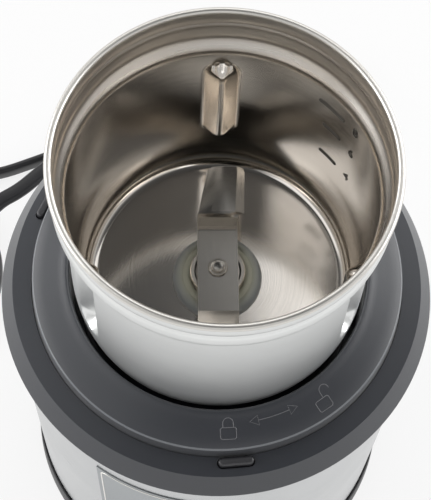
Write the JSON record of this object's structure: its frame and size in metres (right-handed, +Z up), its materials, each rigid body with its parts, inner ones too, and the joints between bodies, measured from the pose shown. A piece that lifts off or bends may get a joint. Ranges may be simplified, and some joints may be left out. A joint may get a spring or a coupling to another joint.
{
  "type": "electric spice grinder",
  "caption": "Electric spice grinder: lift-out twist-lock steel cup with a stamped blade, sprung lid-switch pads round the deck, steel-sleeved motor base and coiled lead.",
  "frame": {"origin": "centre of the base on the table", "axes": "+Z up along the drive shaft; -Y towards the side with the closed padlock mark and the front pad; the lead leaves towards +Y"},
  "size_m": [0.1974, 0.1875, 0.1802],
  "materials": {
    "deck_plastic": "fine matte texture, charcoal",
    "pad_plastic": "matte charcoal",
    "shell_steel": "bright, brushed round the body",
    "cup_steel": "brushed outside, polished inside",
    "blade_steel": "polished",
    "shaft_steel": "ground",
    "label_foil": "satin, bare",
    "washer_rubber": "olive grey",
    "black_rubber": "matte black",
    "cord_vinyl": "slightly glossy black",
    "plug_plastic": "black",
    "pin_brass": "bright",
    "dog_plastic": "dark nylon",
    "inner_plastic": "pale moulding",
    "laminations": "stacked sheet",
    "bracket_steel": "die cast",
    "copper": "enamelled copper",
    "carbon": "carbon",
    "capacitor_case": "yellow case",
    "spring_steel": "bright wire"
  },
  "bodies": {
    "base": {"base_ring": "deck_plastic", "base_screws": "shaft_steel", "bottom_plate": "deck_plastic", "brush_holders": "pin_brass", "capacitor": "capacitor_case", "carbon_brushes": "carbon", "cord_clamp": "inner_plastic", "cord_coil": "cord_vinyl", "cord_tail": "cord_vinyl", "cup_socket": "deck_plastic", "field_coils": "copper", "front_label": "label_foil", "inner_lead": "cord_vinyl", "lower_bearing": "shaft_steel", "lower_bracket": "bracket_steel", "motor_bolts": "shaft_steel", "motor_mounts": "black_rubber", "motor_stator": "laminations", "mount_screws": "shaft_steel", "plug_body": "plug_plastic", "plug_pins": "pin_brass", "power_cord": "cord_vinyl", "rubber_feet": "black_rubber", "shaft_seal": "black_rubber", "steel_shell": "shell_steel", "strain_relief": "black_rubber", "switch_block_front": "inner_plastic", "switch_block_left": "inner_plastic", "switch_block_right": "inner_plastic", "switch_contacts": "pin_brass", "terminal_block": "inner_plastic", "top_ring": "deck_plastic", "upper_bearing": "shaft_steel", "upper_bracket": "bracket_steel"},
    "seat": {"seat_ring": "deck_plastic"},
    "cup": {"cup_shell": "cup_steel", "cup_base": "deck_plastic", "bearing_bush": "blade_steel", "bush_nut": "blade_steel", "floor_washer": "washer_rubber"},
    "blade": {"blade": "blade_steel", "blade_rivet": "blade_steel", "blade_shaft": "shaft_steel", "cup_dog": "dog_plastic"},
    "rotor": {"motor_shaft": "shaft_steel", "motor_dog": "dog_plastic", "armature_core": "laminations", "armature_winding": "copper", "commutator": "copper", "cooling_fan": "inner_plastic"},
    "pad_front": {"switch_pad_front": "pad_plastic", "contact_bridge_front": "pin_brass", "pad_spring_front": "spring_steel"},
    "pad_right": {"switch_pad_right": "pad_plastic", "contact_bridge_right": "pin_brass", "pad_spring_right": "spring_steel"},
    "pad_left": {"switch_pad_left": "pad_plastic", "contact_bridge_left": "pin_brass", "pad_spring_left": "spring_steel"}
  },
  "joints": [
    {"name": "cup_twist", "type": "hinge", "parent": "base", "child": "seat", "pos_m": [0, 0, 0.097], "axis": [0, 0, 1], "range_deg": [-30, 0]},
    {"name": "cup_lift", "type": "slide", "parent": "seat", "child": "cup", "axis": [0, 0, 1], "range_m": [0, 0.06]},
    {"name": "blade_spin", "type": "hinge", "parent": "cup", "child": "blade", "pos_m": [0, 0, 0.1188], "axis": [0, 0, 1], "continuous": true},
    {"name": "motor_spin", "type": "hinge", "parent": "base", "child": "rotor", "pos_m": [0, 0, 0.06], "axis": [0, 0, 1], "continuous": true},
    {"name": "pad_press_front", "type": "slide", "parent": "base", "child": "pad_front", "axis": [0, 0, -1], "range_m": [0, 0.0025], "stiffness_N_per_m": 500, "springref_m": -0.002, "deforming": ["pad_spring_front"]},
    {"name": "pad_press_right", "type": "slide", "parent": "base", "child": "pad_right", "axis": [0, 0, -1], "range_m": [0, 0.0025], "stiffness_N_per_m": 500, "springref_m": -0.002, "deforming": ["pad_spring_right"]},
    {"name": "pad_press_left", "type": "slide", "parent": "base", "child": "pad_left", "axis": [0, 0, -1], "range_m": [0, 0.0025], "stiffness_N_per_m": 500, "springref_m": -0.002, "deforming": ["pad_spring_left"]}
  ],
  "couplings": [
    {"joint": "blade_spin", "follows": "motor_spin", "ratio": 1}
  ]
}
